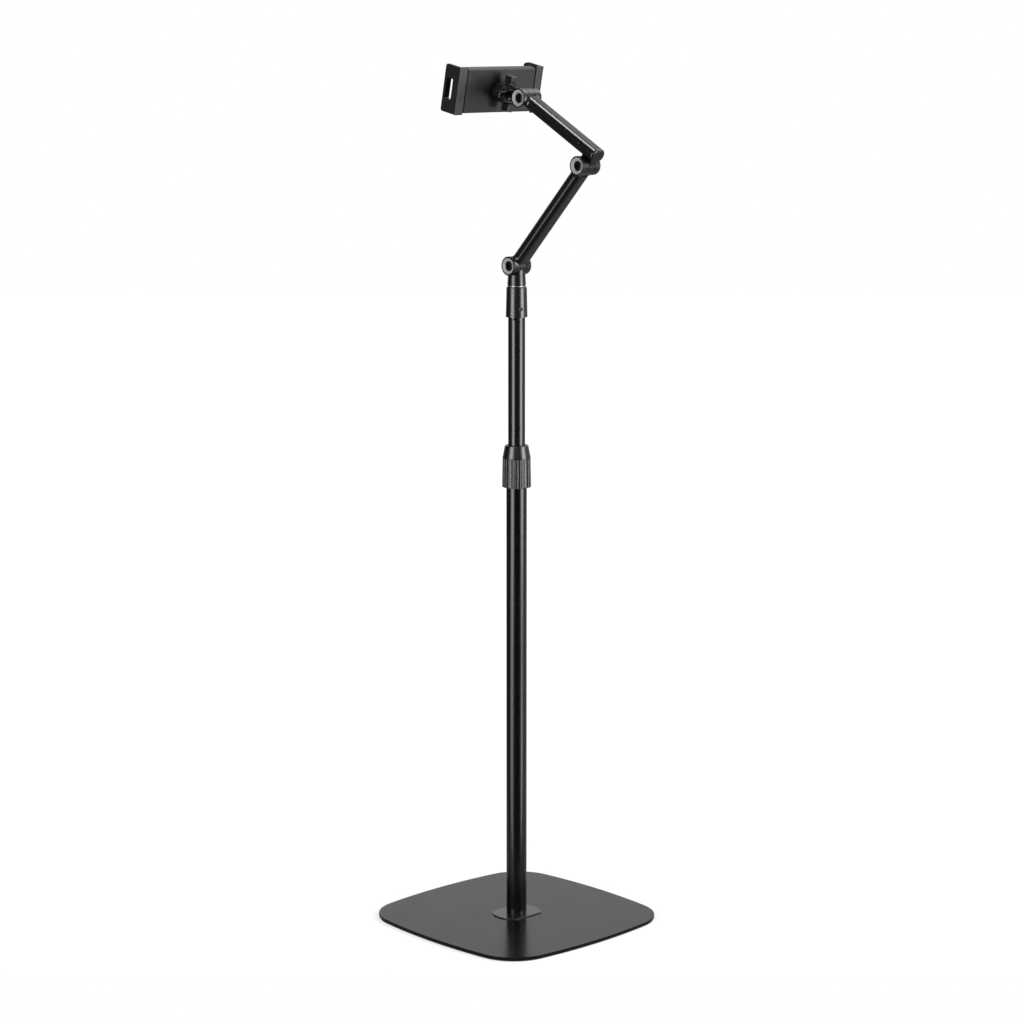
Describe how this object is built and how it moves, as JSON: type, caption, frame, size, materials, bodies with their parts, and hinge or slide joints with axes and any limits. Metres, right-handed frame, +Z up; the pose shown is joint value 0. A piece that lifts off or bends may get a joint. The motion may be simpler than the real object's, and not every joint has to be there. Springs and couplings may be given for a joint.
{
  "type": "tablet floor stand",
  "caption": "Floor stand for a tablet: flat square base, telescopic pole with a twist lock, folding two-part arm and a spring jaw holder on a ball joint.",
  "frame": {"origin": "centre of the base's underside, on the pole's axis", "axes": "+Z up the pole; +X along the hinge barrels, to the right of someone facing the tablet from behind; +Y the way the holder's face looks"},
  "size_m": [0.2866, 0.2866, 1.0542],
  "materials": {
    "black_steel": "semi-gloss black powder coat",
    "black_aluminium": "satin black coating",
    "black_plastic": "fine satin black",
    "black_rubber": "matt black",
    "bright_steel": "zinc plated",
    "dark_steel": "black oxide",
    "satin_grey": "satin grey",
    "natural_nylon": "natural nylon"
  },
  "bodies": {
    "base": {"base_plate": "black_steel", "base_pad": "black_rubber", "flange_plate": "black_steel", "base_washer": "bright_steel", "base_screw": "bright_steel", "foot_insert": "black_plastic", "lower_tube": "black_steel", "lock_sleeve": "black_plastic", "lock_collet": "natural_nylon"},
    "thrust_ring": {"lock_thrust_ring": "natural_nylon"},
    "collar": {"lock_collar": "black_plastic"},
    "pole": {"upper_tube": "black_steel", "guide_bush": "black_plastic", "head_sleeve": "black_plastic", "sleeve_set_screw": "dark_steel", "swivel_ring": "bright_steel", "swivel_washer": "bright_steel"},
    "post": {"post": "black_aluminium", "swivel_bolt": "bright_steel"},
    "upper_arm": {"upper_arm": "black_aluminium", "arm_hinge_bolts": "dark_steel", "arm_hinge_rings": "satin_grey", "arm_hinge_spring_washers": "bright_steel", "arm_hinge_nuts": "bright_steel", "arm_hinge_caps": "black_plastic", "arm_friction_washers": "natural_nylon"},
    "forearm": {"forearm": "black_aluminium", "forearm_end": "black_aluminium", "forearm_pin": "dark_steel", "top_hinge_bolt": "dark_steel", "top_hinge_ring": "satin_grey", "top_hinge_spring_washer": "bright_steel", "top_hinge_nut": "bright_steel", "top_hinge_cap": "black_plastic", "top_friction_washers": "natural_nylon"},
    "neck": {"head_neck": "black_aluminium"},
    "ball": {"ball": "black_steel"},
    "liner": {"ball_liner": "black_plastic"},
    "holder": {"ball_socket": "black_plastic", "socket_screws": "bright_steel", "back_housing": "black_plastic", "front_cover": "black_plastic", "cover_screws": "bright_steel", "face_pad": "black_rubber", "pinion_pin": "bright_steel", "right_spring": "bright_steel", "left_spring": "bright_steel"},
    "seat_ring": {"ball_seat_ring": "black_plastic"},
    "knob": {"knob": "black_plastic"},
    "right_jaw": {"right_jaw": "black_plastic", "right_jaw_pad": "black_rubber"},
    "left_jaw": {"left_jaw": "black_plastic", "left_jaw_pad": "black_rubber"},
    "pinion": {"pinion": "natural_nylon"}
  },
  "joints": [
    {"name": "collar_rise", "type": "slide", "parent": "base", "child": "thrust_ring", "axis": [0, 0, 1], "range_m": [0, 0.0015]},
    {"name": "collar_turn", "type": "hinge", "parent": "thrust_ring", "child": "collar", "pos_m": [0, 0, 0.57], "axis": [0, 0, 1], "range_deg": [0, 270.1]},
    {"name": "pole_slide", "type": "slide", "parent": "base", "child": "pole", "axis": [0, 0, 1], "range_m": [-0.15, 0.25]},
    {"name": "head_swivel", "type": "hinge", "parent": "pole", "child": "post", "pos_m": [0, 0, 0.7905], "axis": [0, 0, 1], "continuous": true},
    {"name": "lower_hinge", "type": "hinge", "parent": "post", "child": "upper_arm", "pos_m": [0, 0, 0.8138], "axis": [-1, 0, 0], "range_deg": [-43, 129]},
    {"name": "middle_hinge", "type": "hinge", "parent": "upper_arm", "child": "forearm", "pos_m": [0, -0.11637, 0.93772], "axis": [1, 0, 0], "range_deg": [-60, 100]},
    {"name": "top_hinge", "type": "hinge", "parent": "forearm", "child": "neck", "pos_m": [0, -0.01724, 1.01397], "axis": [-1, 0, 0], "range_deg": [-120, 95]},
    {"name": "ball_roll", "type": "hinge", "parent": "neck", "child": "ball", "pos_m": [0, 0.01905, 1.01945], "axis": [0, 0.9888, 0.1495], "continuous": true},
    {"name": "ball_tilt", "type": "hinge", "parent": "ball", "child": "liner", "pos_m": [0, 0.01905, 1.01945], "axis": [1, 0, 0], "range_deg": [-20, 14]},
    {"name": "ball_pan", "type": "hinge", "parent": "liner", "child": "holder", "pos_m": [0, 0.01905, 1.01945], "axis": [0, -0.1977, 0.9803], "range_deg": [-17, 17]},
    {"name": "knob_advance", "type": "slide", "parent": "holder", "child": "seat_ring", "axis": [0, -0.9803, -0.1977], "range_m": [0, 0.0005]},
    {"name": "knob_turn", "type": "hinge", "parent": "seat_ring", "child": "knob", "pos_m": [0, 0.01905, 1.01945], "axis": [0, -0.9803, -0.1977], "range_deg": [0, 90.1]},
    {"name": "right_jaw_slide", "type": "slide", "parent": "holder", "child": "right_jaw", "axis": [1, 0, 0], "range_m": [0, 0.0435], "stiffness_N_per_m": 100, "springref_m": -0.03},
    {"name": "left_jaw_slide", "type": "slide", "parent": "holder", "child": "left_jaw", "axis": [-1, 0, 0], "range_m": [0, 0.0435], "stiffness_N_per_m": 100, "springref_m": -0.03},
    {"name": "pinion_turn", "type": "hinge", "parent": "holder", "child": "pinion", "pos_m": [0, 0.03718, 1.02311], "axis": [0, 0.9803, 0.1977], "range_deg": [0, 356.1]}
  ],
  "couplings": [
    {"joint": "collar_turn", "follows": "collar_rise", "rad_per_m": 3141.6},
    {"joint": "knob_turn", "follows": "knob_advance", "rad_per_m": 3141.6},
    {"joint": "left_jaw_slide", "follows": "right_jaw_slide", "ratio": 1},
    {"joint": "pinion_turn", "follows": "right_jaw_slide", "rad_per_m": 142.86}
  ]
}
